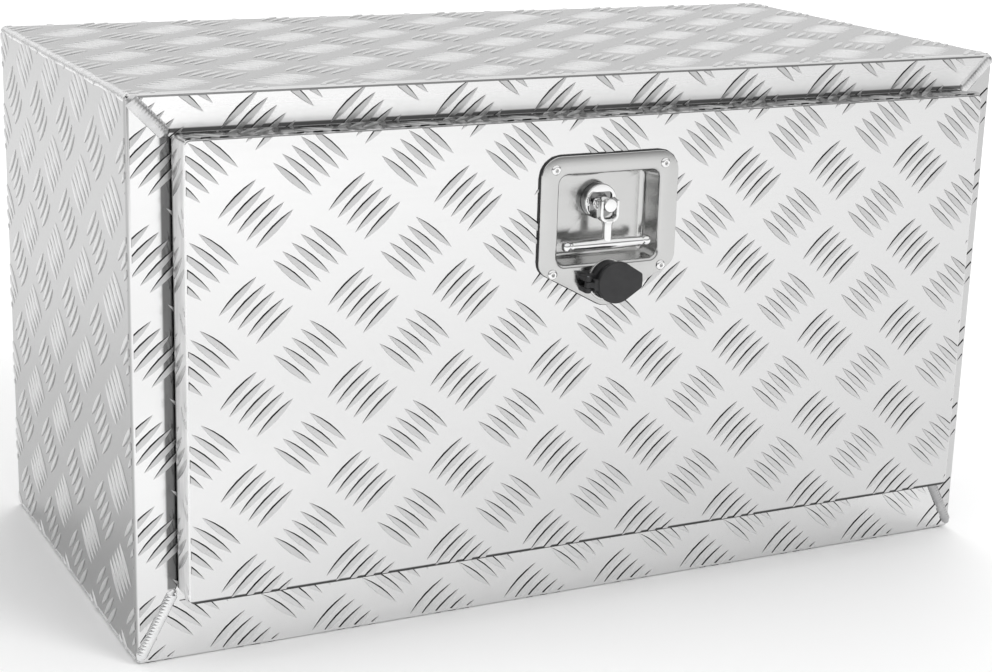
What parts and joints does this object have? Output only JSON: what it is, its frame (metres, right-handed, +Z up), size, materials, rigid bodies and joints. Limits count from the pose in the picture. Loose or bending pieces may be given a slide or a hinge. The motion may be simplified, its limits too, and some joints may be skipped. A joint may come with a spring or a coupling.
{
  "type": "underbody truck tool box",
  "caption": "Welded tread plate tool box for under a truck bed: drop-down door on a piano hinge, folding tee latch in a tray, key lock with weather cap, two slotted door stays.",
  "frame": {"origin": "middle of the flat base of the cabinet, not counting the door that stands proud of it", "axes": "+Z up, +X along the length to the right, and the door faces -Y"},
  "size_m": [0.762, 0.4155, 0.432],
  "materials": {
    "tread_aluminium": "bright rolled tread plate, five-bar pattern",
    "weld_metal": "rippled weld bead",
    "stainless": "satin stainless steel",
    "zinc_steel": "zinc plated steel",
    "black_rubber": "matt black rubber"
  },
  "bodies": {
    "cabinet": {"top_panel": "tread_aluminium", "bottom_panel": "tread_aluminium", "left_end_panel": "tread_aluminium", "right_end_panel": "tread_aluminium", "back_panel": "tread_aluminium", "mitre_weld_top_left": "weld_metal", "mitre_weld_top_right": "weld_metal", "mitre_weld_bottom_left": "weld_metal", "mitre_weld_bottom_right": "weld_metal", "edge_weld_top_left": "weld_metal", "edge_weld_top_right": "weld_metal", "edge_weld_bottom_left": "weld_metal", "edge_weld_bottom_right": "weld_metal", "back_weld_left": "weld_metal", "back_weld_right": "weld_metal", "back_weld_top": "weld_metal", "back_weld_bottom": "weld_metal", "door_seal": "black_rubber", "hinge_frame_leaf": "stainless", "hinge_pin": "stainless", "striker_plate": "stainless", "stay_post_left": "zinc_steel", "stay_post_right": "zinc_steel"},
    "door": {"door_skin": "tread_aluminium", "hinge_door_leaf": "stainless", "stay_bracket_left": "zinc_steel", "stay_bracket_right": "zinc_steel", "latch_plate": "stainless", "latch_gasket": "black_rubber", "latch_rivet_1": "stainless", "latch_rivet_2": "stainless", "latch_rivet_3": "stainless", "latch_rivet_4": "stainless", "latch_bush": "zinc_steel", "lock_barrel": "zinc_steel", "lock_nut": "zinc_steel", "cap_collar": "black_rubber", "cap_hinge_pin": "zinc_steel"},
    "hub": {"latch_hub": "stainless", "handle_pivot_pin": "stainless", "latch_cam": "zinc_steel", "cam_nut": "zinc_steel"},
    "handle": {"tee_handle": "stainless"},
    "lock": {"lock_plug": "zinc_steel", "lock_tail": "zinc_steel"},
    "cap": {"weather_cap": "black_rubber"},
    "stay_left": {"stay_arm_left": "zinc_steel"},
    "stay_right": {"stay_arm_right": "zinc_steel"}
  },
  "joints": [
    {"name": "door_hinge", "type": "hinge", "parent": "cabinet", "child": "door", "pos_m": [0, -0.1885, 0.0515], "axis": [1, 0, 0], "range_deg": [0, 90]},
    {"name": "stay_left_pivot", "type": "hinge", "parent": "door", "child": "stay_left", "pos_m": [-0.32625, -0.202, 0.2015], "axis": [1, 0, 0], "range_deg": [-45, 0]},
    {"name": "stay_right_pivot", "type": "hinge", "parent": "door", "child": "stay_right", "pos_m": [0.32625, -0.202, 0.2015], "axis": [1, 0, 0], "range_deg": [-45, 0]},
    {"name": "latch_turn", "type": "hinge", "parent": "door", "child": "hub", "pos_m": [-0.0085, -0.2, 0.334], "axis": [0, -1, 0], "range_deg": [0, 60]},
    {"name": "handle_lift", "type": "hinge", "parent": "hub", "child": "handle", "pos_m": [-0.0085, -0.211, 0.334], "axis": [-1, 0, 0], "range_deg": [0, 90]},
    {"name": "lock_turn", "type": "hinge", "parent": "door", "child": "lock", "pos_m": [-0.0085, -0.2, 0.275], "axis": [0, 1, 0], "range_deg": [0, 55]},
    {"name": "cap_flip", "type": "hinge", "parent": "door", "child": "cap", "pos_m": [-0.0305, -0.22785, 0.275], "axis": [0, 0, -1], "range_deg": [0, 120]}
  ],
  "couplings": [
    {"joint": "stay_left_pivot", "follows": "door_hinge", "ratio": -0.5},
    {"joint": "stay_right_pivot", "follows": "door_hinge", "ratio": -0.5},
    {"joint": "handle_lift", "follows": "latch_turn", "ratio": 1.5}
  ]
}
